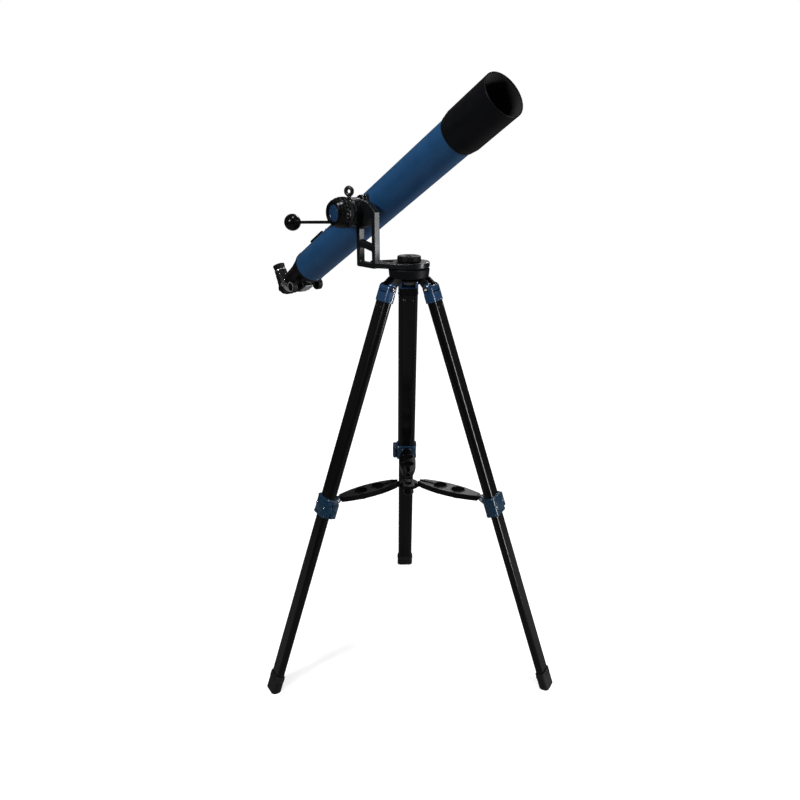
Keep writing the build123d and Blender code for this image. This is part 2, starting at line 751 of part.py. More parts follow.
lens_seat = tube_front + 4
with BuildPart() as objective_cell:
    with BuildSketch(tube_side):
        Polygon(
            (tube_front - 18, bore_radius), (tube_front, bore_radius), (tube_front, tube_radius),
            (cell_end - 1, tube_radius), (cell_end, tube_radius - 1),
            (cell_end, lens_radius + running_gap), (lens_seat, lens_radius + running_gap),
            (lens_seat, clear_aperture_radius - 0.5),
            (tube_front - 18, clear_aperture_radius + 1), align=None,
        )
    revolve(axis=tube_axis)
save(objective_cell, "objective_cell")

edge_thickness, sag, inner_sag = 5.0, 1.7, 1.9         # of both lenses at the rim
with BuildPart() as flint_lens:
    with BuildSketch(tube_side):
        with BuildLine():
            rim = lens_seat + edge_thickness
            Line((lens_seat, 0), (lens_seat, lens_radius))
            Line((lens_seat, lens_radius), (rim, lens_radius))
            ThreePointArc((rim, lens_radius), dome_middle(rim - inner_sag, rim, lens_radius),
                          (rim - inner_sag, 0))
            Line((rim - inner_sag, 0), (lens_seat, 0))
        make_face()
    revolve(axis=tube_axis)
save(flint_lens, "flint_lens")

with BuildPart() as crown_lens:
    with BuildSketch(tube_side):
        with BuildLine():
            rear_rim = lens_seat + edge_thickness
            front_rim = rear_rim + edge_thickness
            Line((rear_rim, lens_radius), (front_rim, lens_radius))
            ThreePointArc((front_rim, lens_radius),
                          dome_middle(front_rim + sag, front_rim, lens_radius),
                          (front_rim + sag, 0))
            Line((front_rim + sag, 0), (rear_rim - sag, 0))
            ThreePointArc((rear_rim - sag, 0),
                          dome_middle(rear_rim - sag, rear_rim, lens_radius),
                          (rear_rim, lens_radius))
        make_face()
    revolve(axis=tube_axis)
save(crown_lens, "crown_lens")

with BuildPart() as lens_retaining_ring:
    with BuildSketch(tube_side):
        Polygon(
            (lens_seat + 2 * edge_thickness + 0.1, clear_aperture_radius + 0.2),
            (lens_seat + 2 * edge_thickness + 0.1, lens_radius + running_gap),
            (cell_end - 2, lens_radius + running_gap),
            (cell_end - 2, clear_aperture_radius),
            (cell_end - 3, clear_aperture_radius - 0.4), align=None,
        )
    revolve(axis=tube_axis)
save(lens_retaining_ring, "lens_retaining_ring")

with BuildPart() as dew_shield:
    with BuildSketch(tube_side):
        Polygon(
            (shield_back, tube_radius + running_gap), (cell_end, tube_radius + running_gap),
            (cell_end + 3, shield_radius - 2), (shield_front, shield_radius - 2),
            (shield_front, shield_radius - 0.8), (shield_front - 1, shield_radius),
            (shield_back + 20, shield_radius), (shield_back + 1, shield_radius - 3.4),
            (shield_back, shield_radius - 3.8), align=None,
        )
    revolve(axis=tube_axis)
save(dew_shield, "dew_shield")

baffle_openings = {150.0: 34.0, 0.0: 28.0, -150.0: 22.0}     # station: opening radius
with BuildPart() as tube_baffles:
    for station, opening in baffle_openings.items():
        with BuildSketch(tube_side):
            Polygon(
                (station, opening), (station, bore_radius), (station - 6, bore_radius),
                (station - 6, bore_radius - 1.5), (station - 1.5, bore_radius - 1.5),
                (station - 1.5, opening), align=None,
            )
        revolve(axis=tube_axis)
save(tube_baffles, "tube_baffles")

shoe_back, shoe_front, shoe_top = -290.0, -226.0, 49.8
nut_stations = (-297.0, -219.0)
with BuildPart() as finder_shoe:
    with BuildSketch(tube_level(40, (shoe_back + shoe_front) / 2)):
        RectangleRounded(shoe_front - shoe_back, 28, 3)
    extrude(amount=shoe_top - 40)
    with BuildSketch(tube_level(40, (shoe_back + shoe_front) / 2)):
        RectangleRounded(nut_stations[1] - nut_stations[0] + 14, 14, 6)
    extrude(amount=8)
    with BuildSketch(tube_section(shoe_back - 20)):
        Circle(tube_radius)
    extrude(amount=100, mode=Mode.SUBTRACT)
    with BuildSketch(tube_section(shoe_back - 1)):
        Polygon((-8, shoe_top + 1), (8, shoe_top + 1), (8, shoe_top), (10, shoe_top - 3.5),
                (-10, shoe_top - 3.5), (-8, shoe_top), align=None)
    extrude(amount=shoe_front - shoe_back + 2, mode=Mode.SUBTRACT)
save(finder_shoe, "finder_shoe")

with BuildPart() as finder_nuts:
    for station in nut_stations:
        with BuildSketch(tube_level(48, station)):
            RegularPolygon(radius=4.6, side_count=6)
        extrude(amount=3.2)
        with BuildSketch(tube_level(51.2, station)):
            Circle(2)
        extrude(amount=1.8)
save(finder_nuts, "finder_nuts")

# ---------------------------------------------------------------- focuser
block_front, block_back, block_half_width, block_drop = -380.0, -424.0, 20.0, 42.5
rack_half_width = 4.0
rack_module = 2 * pinion_pitch_radius / pinion_teeth
rack_root = pinion_drop - pinion_pitch_radius - 1.25 * rack_module
rack_tip = pinion_drop - pinion_pitch_radius + rack_module
pinion_axis_point = (
    tube_origin + tube_forward * pinion_station - tube_upward * pinion_drop
    - knob_side * tube_side_shift
)
focus_axis = Axis(pinion_axis_point, knob_side)
focus_shaft_radius = 3.0


def focus_section(distance):
    """Plane across the focus shaft: x forward along the tube, y up from it."""
    return Plane(
        origin=pinion_axis_point + knob_side * distance, x_dir=tube_forward, z_dir=knob_side
    )


with BuildPart() as focuser_housing:
    with BuildSketch(tube_side):
        Polygon(
            (tube_back + 13, bore_radius - 2.5), (tube_back + 13, bore_radius),
            (tube_back, bore_radius), (tube_back, tube_radius), (-350, tube_radius),
            (-353, tube_radius - 2), (-400, 33.6), (focuser_end + 4, 30.2),
            (focuser_end, 28), (focuser_end, 21), (-396, 21), (-390, 29), (-352, 40), align=None,
        )
    revolve(axis=tube_axis)
    with BuildSketch(tube_level(-block_drop, (block_front + block_back) / 2)):
        RectangleRounded(block_front - block_back, 2 * block_half_width, 4)
    extrude(amount=20)
    with BuildSketch(tube_section(focuser_end - 1)):
        Circle(drawtube_radius + running_gap)
    extrude(amount=block_front - focuser_end + 2, mode=Mode.SUBTRACT)
    with BuildSketch(tube_section(focuser_end - 1)):
        with Locations((tube_side_shift, -(rack_tip + 0.6 + 20) / 2)):
            Rectangle(2 * rack_half_width + 0.6, rack_tip + 0.6 - 20)
    extrude(amount=block_front - focuser_end + 12, mode=Mode.SUBTRACT)
    with BuildSketch(focus_section(0)):
        Circle(pinion_pitch_radius + rack_module + 0.7)
    extrude(amount=rack_half_width + 1, both=True, mode=Mode.SUBTRACT)
    with BuildSketch(focus_section(0)):
        Circle(focus_shaft_radius + running_gap)
    extrude(amount=block_half_width + 5, both=True, mode=Mode.SUBTRACT)
save(focuser_housing, "focuser_housing")

with BuildPart() as pinion_cover:
    with BuildSketch(tube_level(-block_drop - 2, (block_front + block_back) / 2)):
        RectangleRounded(block_front - block_back - 4, 2 * block_half_width - 12, 3)
        with GridLocations(30, 20, 2, 2):
            Circle(1.6, mode=Mode.SUBTRACT)
    extrude(amount=2)
save(pinion_cover, "pinion_cover")

with BuildPart() as drawtube:
    with BuildSketch(tube_side):
        Polygon(
            (-340, drawtube_radius - 2), (-340, drawtube_radius),
            (collar_back, drawtube_radius), (collar_back, 25.5), (drawtube_end + 1.5, 25.5),
            (drawtube_end, 24), (drawtube_end, barrel_radius + running_gap),
            (collar_back + 3, barrel_radius + running_gap),
            (collar_back + 3, drawtube_radius - 2), align=None,
        )
    revolve(axis=tube_axis)
    with BuildSketch(Plane(origin=tube_origin + tube_forward * lock_place, x_dir=tube_forward,
                           z_dir=knob_side)):
        Circle(2 + running_gap)
    extrude(amount=30, mode=Mode.SUBTRACT)
save(drawtube, "drawtube")

rack_teeth = 28
with BuildPart() as drive_rack:
    tooth_pitch = pi * rack_module
    first = pinion_station - tooth_pitch * (rack_teeth / 2 - 2.5)
    outline = [(first - tooth_pitch / 2, -20), (first - tooth_pitch / 2, -rack_root)]
    for tooth in range(rack_teeth):
        middle = first + tooth * tooth_pitch
        outline += [(middle - 1.1, -rack_root), (middle - 0.34, -rack_tip),
                    (middle + 0.34, -rack_tip), (middle + 1.1, -rack_root)]
    outline += [(middle + tooth_pitch / 2, -rack_root), (middle + tooth_pitch / 2, -20)]
    with BuildSketch(Plane(origin=tube_origin - knob_side * (tube_side_shift + rack_half_width),
                           x_dir=tube_forward, z_dir=knob_side)):
        Polygon(*outline, align=None)
    extrude(amount=2 * rack_half_width)
    with BuildSketch(tube_section(-500)):
        Circle(drawtube_radius)
    extrude(amount=300, mode=Mode.SUBTRACT)
save(drive_rack, "drive_rack")

with BuildPart() as focus_pinion:
    gear_outline = []
    for tooth in range(pinion_teeth):
        middle = pi / 2 + tooth * 2 * pi / pinion_teeth
        for radius, half_width, side in ((4.7, 0.85, -1), (6.0, 0.62, -1), (6.85, 0.28, -1),
                                         (6.85, 0.28, 1), (6.0, 0.62, 1), (4.7, 0.85, 1)):
            angle = middle + side * half_width / radius
            gear_outline.append((radius * cos(angle), radius * sin(angle)))
    with BuildSketch(focus_section(0)):
        Polygon(*gear_outline, align=None)
    extrude(amount=rack_half_width, both=True)
    with BuildSketch(focus_section(0)):
        Circle(focus_shaft_radius)
    extrude(amount=46, both=True)
save(focus_pinion, "focus_pinion")

with BuildPart() as focus_knobs:
    for side in (1, -1):
        with BuildSketch(Plane(origin=pinion_axis_point, x_dir=knob_side * side,
                               z_dir=tube_forward)):
            Polygon(
                (30, 0), (30, 7), (34, 7.5), (35, 16), (36.5, 17), (49, 17), (50.5, 15.5),
                (50.5, 11.8), (49.3, 11.2), (49.3, 0), align=None,
            )
        revolve(axis=focus_axis)
    with BuildSketch(focus_section(0)):
        Circle(focus_shaft_radius)
    extrude(amount=46, both=True, mode=Mode.SUBTRACT)
    with BuildSketch(focus_section(0)):
        with PolarLocations(17.7, 24):
            Circle(1.3)
    extrude(amount=60, both=True, mode=Mode.SUBTRACT)
save(focus_knobs, "focus_knobs")

# ---------------------------------------------------------------- diagonal and eyepiece
mirror_backing = 11.0
holder_bottom, holder_top = 22.0, 40.0
elbow = tube_origin + tube_forward * eyepiece_station
mirror_normal = (tube_forward * -1 - tube_upward).normalized()
eyepiece_axis = Axis(elbow, tube_upward)
eyepiece_side = Plane(origin=elbow, x_dir=tube_forward, z_dir=knob_side)


def mirror_plane(distance):
    """Plane parallel to the mirror, behind its face: x is level."""
    return Plane(
        origin=elbow + mirror_normal * distance, x_dir=Vector(0, 1, 0), z_dir=mirror_normal
    )


with BuildPart() as light_path:
    with BuildSketch(tube_section(eyepiece_station - 16)):
        Circle(13.5)
    extrude(amount=60)
    with BuildSketch(tube_level(-16, eyepiece_station)):
        Circle(14.5)
    extrude(amount=45)
    split(bisect_by=mirror_plane(0), keep=Keep.BOTTOM)

with BuildPart() as diagonal_body:
    with BuildSketch(tube_section(drawtube_end - 0.5)):
        Circle(barrel_radius)
    extrude(amount=20)
    with BuildSketch(tube_section(drawtube_end - 0.5)):
        Circle(20)
    extrude(amount=-34)
    with BuildSketch(tube_level(-20, eyepiece_station)):
        Circle(20)
    extrude(amount=42)
    with BuildSketch(tube_level(holder_bottom, eyepiece_station)):
        Circle(18.8)
    extrude(amount=holder_top - holder_bottom)
    split(bisect_by=mirror_plane(mirror_backing), keep=Keep.BOTTOM)
    add(light_path.part, mode=Mode.SUBTRACT)
    with BuildSketch(mirror_plane(0)):
        Rectangle(27, 36)
    extrude(amount=3, mode=Mode.SUBTRACT)
    with BuildSketch(tube_level(24, eyepiece_station)):
        Circle(barrel_radius + running_gap)
    extrude(amount=20, mode=Mode.SUBTRACT)
    with BuildSketch(Plane(origin=elbow + tube_upward * 32, x_dir=Vector(0, 1, 0),
                           z_dir=tube_forward)):
        Circle(2 + running_gap)
    extrude(amount=25, mode=Mode.SUBTRACT)
save(diagonal_body, "diagonal_body")

with BuildPart() as diagonal_mirror:
    with BuildSketch(mirror_plane(0)):
        Rectangle(27, 36)
    extrude(amount=3)
save(diagonal_mirror, "diagonal_mirror")


def make_thumbscrew(start, facing, tip, head):
    """Small knurled thumbscrew from its tip distance to its head distance."""
    sideways = Vector(0, 1, 0) if abs(facing.Y) < 0.5 else tube_forward
    with BuildPart() as screw:
        with BuildSketch(Plane(origin=start + facing * tip, x_dir=sideways, z_dir=facing)):
            Circle(2)
        extrude(amount=head - tip + 1)
        with BuildSketch(Plane(origin=start + facing * head, x_dir=sideways, z_dir=facing)):
            Circle(4.5)
            with PolarLocations(4.9, 12):
                Circle(0.7, mode=Mode.SUBTRACT)
        extrude(amount=6)
    return screw


save(make_thumbscrew(tube_origin + tube_forward * lock_place, knob_side, barrel_radius + 0.1, 28),
     "diagonal_lock_screw")
save(make_thumbscrew(elbow + tube_upward * 32, tube_forward, barrel_radius + 0.1, 19),
     "eyepiece_lock_screw")

with BuildPart() as eyepiece_barrel:
    with BuildSketch(eyepiece_side):
        Polygon(
            (13, 26), (barrel_radius, 26), (barrel_radius, holder_top + 0.2),
            (16.8, holder_top + 0.2), (17, holder_top + 1), (17, 53), (16.4, 54), (15.2, 54),
            (15.2, 57.5), (9, 57.5), (9, 52), (11, 52), (11, 30), (13, 29), align=None,
        )
    revolve(axis=eyepiece_axis)
save(eyepiece_barrel, "eyepiece_barrel")

with BuildPart() as eyepiece_lenses:
    for low, high in ((32.0, 36.0), (46.0, 52.0)):
        with BuildSketch(eyepiece_side):
            with BuildLine():
                Line((0, low - 1.4), (0, high))
                Line((0, high), (11, high))
                Line((11, high), (11, low))
                dome_height, dome_radius = dome_middle(low - 1.4, low, 11)
                ThreePointArc((11, low), (dome_radius, dome_height), (0, low - 1.4))
            make_face()
        revolve(axis=eyepiece_axis)
save(eyepiece_lenses, "eyepiece_lenses")

with BuildPart() as eyecup:
    with BuildSketch(eyepiece_side):
        Polygon(
            (9, 57.5), (15.2, 57.5), (15.4, 62), (17.4, 70), (17.75, 71.5), (16.4, 71.5),
            (13, 66), (12, 60), (9, 60), align=None,
        )
    revolve(axis=eyepiece_axis)
save(eyecup, "eyecup")
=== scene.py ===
"""Looks of the small refractor telescope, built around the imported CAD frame.

Helpers take millimetres, and everything they build is placed in the row frame in metres.
"""

import json
from math import cos, pi, radians, sin

import bmesh
import bpy
from mathutils import Matrix, Vector


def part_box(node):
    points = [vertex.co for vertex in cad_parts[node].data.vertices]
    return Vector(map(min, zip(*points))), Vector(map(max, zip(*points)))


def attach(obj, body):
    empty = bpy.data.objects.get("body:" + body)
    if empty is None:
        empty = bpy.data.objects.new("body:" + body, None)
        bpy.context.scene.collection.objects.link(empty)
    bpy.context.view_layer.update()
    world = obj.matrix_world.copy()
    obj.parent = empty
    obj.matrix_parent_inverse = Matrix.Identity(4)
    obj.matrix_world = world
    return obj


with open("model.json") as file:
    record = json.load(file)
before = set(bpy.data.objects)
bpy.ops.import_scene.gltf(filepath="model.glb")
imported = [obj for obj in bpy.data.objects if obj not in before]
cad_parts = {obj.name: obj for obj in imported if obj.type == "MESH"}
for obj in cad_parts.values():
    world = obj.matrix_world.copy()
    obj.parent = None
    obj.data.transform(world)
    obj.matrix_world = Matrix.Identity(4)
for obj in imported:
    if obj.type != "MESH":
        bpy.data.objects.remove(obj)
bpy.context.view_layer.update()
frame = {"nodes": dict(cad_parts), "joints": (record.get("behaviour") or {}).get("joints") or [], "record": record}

MM = 0.001
KNOB_SIDE = Vector((0, -1, 0))
UP = Vector((0, 0, 1))
LEG_BEARING = 19.8                                     # of leg a, in degrees from +X

# stations along a leg, from its hinge
RIVETS = 47
BRACKET_CUT, BRACKET_END = 12.5, 33.2                  # inward side of the bracket
TRAY_PIVOT, TRAY_PIVOT_INWARD = 534.5, 24
COLLAR_ENDS, COLLAR_MIDDLE, COLLAR_FACE = (533.5, 574.5), 554, 16
LEVER_RIDGES, LEVER_FACE = 541, 37.6
FOOT_RIBS = (1017, 1022, 1027)

# stations along the tube, from the altitude axis
ELBOW = -496
PINION_COVER, PINION_COVER_FACE = -402, -44.3
TUBE_REAR, TUBE_OUTER = -344.6, 45.0
FOCUSER_SCREWS = -337
SHOE_SCREWS, SHOE_FACE = (-283, -233), 49.7
SHIELD_STEP, SHIELD_MOUTH = 356.5, 458.65


# ---------------------------------------------------------------- places from the frame
def joint(name):
    return next(j for j in frame["joints"] if j["name"] == name)


def place(name):
    return Vector(joint(name)["pos_m"])


def direction(name):
    return Vector(joint(name)["axis"]).normalized()


tube_u = direction("diagonal_turn")                    # along the tube, forwards
tube_w = direction("eyepiece_slide")                   # up from the tube
elbow = place("diagonal_turn")
tube_zero = elbow - tube_u * ELBOW * MM


def on_tube(station, up=0.0, side=0.0):
    """Point by its station, height above and distance to the knob side of the tube's axis."""
    return tube_zero + (tube_u * station + tube_w * up + KNOB_SIDE * side) * MM


class Leg:
    """Directions of one leg: down it, tangential and outward."""

    def __init__(self, letter):
        self.letter = letter
        self.hinge = place(f"leg_{letter}_fold")
        self.tangent = direction(f"leg_{letter}_fold")
        self.down = -direction(f"lower_leg_{letter}_slide")
        self.outward = self.down.cross(self.tangent)

    def at(self, along, tangential=0.0, outward=0.0):
        return self.hinge + (
            self.down * along + self.tangent * tangential + self.outward * outward
        ) * MM


legs = [Leg(letter) for letter in "abc"]


# ---------------------------------------------------------------- materials
class Nodes:
    """Small wrapper that adds and links shader nodes."""

    def __init__(self, name):
        self.material = bpy.data.materials.new(name)
        self.material.use_nodes = True
        self.tree = self.material.node_tree
        self.shader = self.tree.nodes["Principled BSDF"]

    def add(self, kind, **inputs):
        node = self.tree.nodes.new(kind)
        for key, value in inputs.items():
            socket = node.inputs[key.replace("_", " ")]
            if isinstance(value, bpy.types.NodeSocket):
                self.tree.links.new(value, socket)
            else:
                socket.default_value = value
        return node

    def link(self, source, target):
        self.tree.links.new(source, target)

    def noise(self, vector, scale, detail=5.0, roughness=0.6):
        return self.add("ShaderNodeTexNoise", Vector=vector, Scale=scale, Detail=detail,
                        Roughness=roughness).outputs["Fac"]

    def fit(self, value, low, high, to_low=0.0, to_high=1.0):
        node = self.add("ShaderNodeMapRange", Value=value)
        for key, number in (("From Min", low), ("From Max", high), ("To Min", to_low),
                            ("To Max", to_high)):
            node.inputs[key].default_value = number
        return node.outputs["Result"]

    def maths(self, operation, first, second):
        node = self.tree.nodes.new("ShaderNodeMath")
        node.operation = operation
        for socket, value in zip(node.inputs, (first, second)):
            if isinstance(value, bpy.types.NodeSocket):
                self.link(value, socket)
            else:
                socket.default_value = value
        return node.outputs["Value"]

    def mix(self, factor, first, second):
        node = self.tree.nodes.new("ShaderNodeMix")
        node.data_type = "RGBA"
        for socket, value in ((node.inputs[0], factor), (node.inputs[6], first),
                              (node.inputs[7], second)):
            if isinstance(value, bpy.types.NodeSocket):
                self.link(value, socket)
            else:
                socket.default_value = value if isinstance(value, float) else (*value, 1)
        return node.outputs[2]


def surface(name, base, accent, metallic=0.0, rough=(0.35, 0.5), grain=60.0, texture=900.0,
            bump=0.12, wear=None, wear_amount=0.5, coat=0.0, along=None, stretch=1.0,
            dust=0.01, edge=0.5, specular=0.5):
    """Painted, moulded or machined finish with mottling, smudges, grain, dust and worn edges."""
    n = Nodes(name)
    where = n.add("ShaderNodeTexCoord").outputs["Object"]
    if along is not None:
        turn = n.add("ShaderNodeMapping", Vector=where)
        turn.inputs["Rotation"].default_value = along.rotation_difference(UP).to_euler()
        squeeze = n.add("ShaderNodeMapping", Vector=turn.outputs["Vector"])
        squeeze.inputs["Scale"].default_value = (1, 1, stretch)
        where = squeeze.outputs["Vector"]
    mottle = n.fit(n.noise(where, grain), 0.32, 0.68)
    smudge = n.noise(where, grain * 0.22, 3.0, 0.5)
    colour = n.mix(mottle, base, accent)
    rounded = n.add("ShaderNodeBevel", Radius=edge * MM)
    rounded.samples = 4
    facing = n.add("ShaderNodeNewGeometry").outputs
    if wear is not None:
        corner = n.add("ShaderNodeVectorMath")
        corner.operation = "DOT_PRODUCT"
        n.link(rounded.outputs["Normal"], corner.inputs[0])
        n.link(facing["Normal"], corner.inputs[1])
        rubbed = n.maths("MULTIPLY", n.fit(corner.outputs["Value"], 0.97, 0.80, 0, wear_amount),
                         n.fit(n.noise(where, 240.0, 4.0), 0.42, 0.62))
        colour = n.mix(rubbed, colour, wear)
    if dust:
        upward = n.add("ShaderNodeSeparateXYZ", Vector=facing["Normal"]).outputs["Z"]
        settled = n.maths("MULTIPLY", n.fit(upward, 0.55, 1.0),
                          n.fit(n.noise(where, 900.0, 2.0), 0.52, 0.75, 0, dust))
        colour = n.mix(settled, colour, (0.55, 0.54, 0.52))
    n.link(colour, n.shader.inputs["Base Color"])
    n.link(n.fit(smudge, 0.3, 0.7, *rough), n.shader.inputs["Roughness"])
    n.shader.inputs["Metallic"].default_value = metallic
    n.shader.inputs["Specular IOR Level"].default_value = specular
    n.shader.inputs["Coat Weight"].default_value = coat
    n.shader.inputs["Coat Roughness"].default_value = 0.08
    relief = n.add("ShaderNodeBump", Height=n.noise(where, texture, 3.0), Strength=bump,
                   Distance=0.15 * MM, Normal=rounded.outputs["Normal"])
    n.link(relief.outputs["Normal"], n.shader.inputs["Normal"])
    return n.material


def glass(name, tint, film):
    """Coated optical glass with a trace of dust."""
    n = Nodes(name)
    where = n.add("ShaderNodeTexCoord").outputs["Object"]
    n.link(n.mix(n.fit(n.noise(where, 90.0), 0.4, 0.7), tint, [min(1, c * 1.04) for c in tint]),
           n.shader.inputs["Base Color"])
    n.link(n.fit(n.noise(where, 350.0, 2.0), 0.5, 0.8, 0.01, 0.06), n.shader.inputs["Roughness"])
    n.shader.inputs["Transmission Weight"].default_value = 1.0
    n.shader.inputs["IOR"].default_value = 1.52
    n.shader.inputs["Thin Film Thickness"].default_value = film
    n.shader.inputs["Thin Film IOR"].default_value = 1.38
    return n.material


grey_wear = (0.32, 0.33, 0.35)
tube_blue = surface("tube_blue", (0.0105, 0.054, 0.140), (0.0130, 0.064, 0.162),
                    rough=(0.34, 0.44), grain=26, texture=1500, bump=0.05, specular=0.3,
                    wear=(0.20, 0.26, 0.34), wear_amount=0.35)
shield_black = surface("shield_black", (0.0024, 0.0026, 0.0035), (0.0042, 0.0044, 0.0058),
                       rough=(0.36, 0.48), grain=40, texture=2200, bump=0.15, wear=grey_wear,
                       wear_amount=0.2, specular=0.11)
inside_black = surface("inside_black", (0.004, 0.004, 0.004), (0.007, 0.007, 0.007),
                       rough=(0.85, 0.95), grain=80, texture=2600, bump=0.4)
gunmetal = surface("gunmetal", (0.008, 0.009, 0.010), (0.014, 0.015, 0.017), metallic=0.5,
                   rough=(0.24, 0.34), grain=70, texture=1900, bump=0.15, wear=grey_wear,
                   wear_amount=0.6, specular=0.3, edge=2.6)
black_plastic = surface("black_plastic", (0.0016, 0.0016, 0.0019), (0.0034, 0.0034, 0.0039),
                        rough=(0.30, 0.42), grain=90, texture=2400, bump=0.2,
                        wear=(0.07, 0.07, 0.075), wear_amount=0.25, specular=0.12, edge=1.2)
gloss_black = surface("gloss_black", (0.0015, 0.0015, 0.0018), (0.003, 0.003, 0.0035),
                      rough=(0.14, 0.24), grain=70, texture=700, bump=0.03,
                      wear=(0.07, 0.07, 0.075), wear_amount=0.1, specular=0.2, edge=1.2)
satin_grey = surface("satin_grey", (0.20, 0.20, 0.21), (0.27, 0.27, 0.28), rough=(0.3, 0.4),
                     grain=90, texture=1500, bump=0.08, wear=(0.5, 0.5, 0.5))
knob_rubber = surface("knob_rubber", (0.0025, 0.0025, 0.003), (0.005, 0.005, 0.0055),
                      rough=(0.45, 0.6), grain=110, texture=2600, bump=0.35,
                      wear=(0.06, 0.06, 0.065), wear_amount=0.2, specular=0.1, edge=0.8)
blue_plastic = surface("blue_plastic", (0.006, 0.034, 0.092), (0.009, 0.044, 0.115),
                       rough=(0.16, 0.26), grain=70, texture=1200, bump=0.05, coat=0.8,
                       wear=(0.16, 0.24, 0.36), wear_amount=0.35, specular=0.5, edge=2.2)
collar_blue = surface("collar_blue", (0.0045, 0.022, 0.047), (0.006, 0.029, 0.060),
                      rough=(0.22, 0.34), grain=70, texture=1300, bump=0.08, coat=0.2,
                      wear=(0.16, 0.24, 0.36), wear_amount=0.3, specular=0.3, edge=1.5)
bright_steel = surface("bright_steel", (0.58, 0.59, 0.61), (0.70, 0.71, 0.73), metallic=1.0,
                       rough=(0.16, 0.30), grain=160, texture=1500, bump=0.05, dust=0.0,
                       wear=(0.86, 0.87, 0.88))
dark_steel = surface("dark_steel", (0.020, 0.020, 0.022), (0.045, 0.045, 0.05), metallic=0.8,
                     rough=(0.20, 0.34), grain=160, texture=1500, bump=0.08, dust=0.0,
                     wear=(0.6, 0.6, 0.62), wear_amount=0.8)
chrome = surface("chrome", (0.66, 0.67, 0.69), (0.74, 0.75, 0.77), metallic=1.0,
                 rough=(0.07, 0.16), grain=120, texture=900, bump=0.03, dust=0.0)
aluminium = surface("aluminium", (0.50, 0.51, 0.53), (0.62, 0.63, 0.65), metallic=1.0,
                    rough=(0.28, 0.40), grain=150, texture=1700, bump=0.12, dust=0.0,
                    along=tube_u, stretch=0.08)
brass = surface("brass", (0.48, 0.33, 0.10), (0.62, 0.44, 0.16), metallic=1.0,
                rough=(0.22, 0.38), grain=130, texture=1200, bump=0.1, dust=0.0)
foot_rubber = surface("foot_rubber", (0.004, 0.004, 0.004), (0.008, 0.0075, 0.007),
                      rough=(0.5, 0.7), grain=90, texture=1800, bump=0.45,
                      wear=(0.16, 0.15, 0.14), wear_amount=0.5, specular=0.25)
leg_black = {
    leg.letter: surface(f"leg_black_{leg.letter}", (0.0016, 0.0016, 0.002),
                        (0.0035, 0.0035, 0.004), rough=(0.14, 0.22), grain=60, texture=900,
                        bump=0.04, along=leg.down, stretch=0.02, wear=grey_wear,
                        wear_amount=0.12, specular=0.22, edge=2.5)
    for leg in legs
}
objective_glass = glass("objective_glass", (0.93, 0.98, 0.95), 420)
eye_glass = glass("eye_glass", (0.94, 0.95, 0.99), 330)
mirror_glass = surface("mirror_glass", (0.86, 0.87, 0.88), (0.90, 0.91, 0.92), metallic=1.0,
                       rough=(0.01, 0.03), grain=40, texture=400, bump=0.0, dust=0.0)


def finish_nodes(material, *names):
    """Give CAD nodes a material."""
    for name in names:
        slots = frame["nodes"][name].data.materials
        slots.clear()
        slots.append(material)


finish_nodes(tube_blue, "main_tube")
finish_nodes(shield_black, "dew_shield", "objective_cell", "lens_retaining_ring", "tripod_hub",
             "pan_handle_rod")
finish_nodes(inside_black, "tube_baffles", "azimuth_thrust_washer")
finish_nodes(gunmetal, "mount_arm", "altitude_housing", "dovetail_saddle", "dovetail_bar")
finish_nodes(black_plastic, "tray_hub", "finder_shoe", "focuser_housing", "focus_knobs")
finish_nodes(gloss_black, "altitude_knob", "pan_handle_ball")
finish_nodes(knob_rubber, "azimuth_knob", "dovetail_clamp_screw", "eyecup", "diagonal_body")
finish_nodes(blue_plastic, "altitude_knob_cap")
finish_nodes(dark_steel, "leg_pivot_bolts", "altitude_lock_screw", "focus_pinion")
finish_nodes(bright_steel, "azimuth_spindle", "altitude_shaft", "finder_nuts",
             "diagonal_lock_screw", "eyepiece_lock_screw")
finish_nodes(chrome, "drawtube", "eyepiece_barrel")
finish_nodes(aluminium, "pinion_cover")
finish_nodes(brass, "drive_rack")
finish_nodes(objective_glass, "flint_lens", "crown_lens")
finish_nodes(eye_glass, "eyepiece_lenses")
finish_nodes(mirror_glass, "diagonal_mirror")
for leg in legs:
    finish_nodes(blue_plastic, f"leg_bracket_{leg.letter}")
    finish_nodes(collar_blue, f"clamp_collar_{leg.letter}", f"clamp_lever_{leg.letter}")
    finish_nodes(leg_black[leg.letter], f"upper_leg_{leg.letter}", f"lower_leg_{leg.letter}")
    finish_nodes(black_plastic, f"tray_arm_{leg.letter}")
    finish_nodes(foot_rubber, f"foot_{leg.letter}")


# ---------------------------------------------------------------- piece builders
def finish_piece(name, bm, material, body, crease=32):
    """Turn a bmesh into a smooth-shaded piece that rides on a body."""
    bmesh.ops.remove_doubles(bm, verts=bm.verts, dist=1e-7)
    bmesh.ops.recalc_face_normals(bm, faces=bm.faces)
    for face in bm.faces:
        face.smooth = True
    for edge in bm.edges:
        if len(edge.link_faces) == 2 and edge.calc_face_angle(0) > radians(crease):
            edge.smooth = False
    mesh = bpy.data.meshes.new(name)
    bm.to_mesh(mesh)
    bm.free()
    piece = bpy.data.objects.new(name, mesh)
    bpy.context.scene.collection.objects.link(piece)
    mesh.materials.append(material)
    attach(piece, body)
    return piece


def side_vectors(axis):
    """Two directions square to an axis."""
    first = axis.cross(UP if abs(axis.z) < 0.9 else Vector((1, 0, 0))).normalized()
    return first, axis.cross(first).normalized()


def skin(bm, loops):
    """Join matching closed loops of points with quads."""
    count = len(loops[0])
    for low, high in zip(loops, loops[1:]):
        for k in range(count):
            m = (k + 1) % count
            bm.faces.new((low[k], high[k], high[m], low[m]))


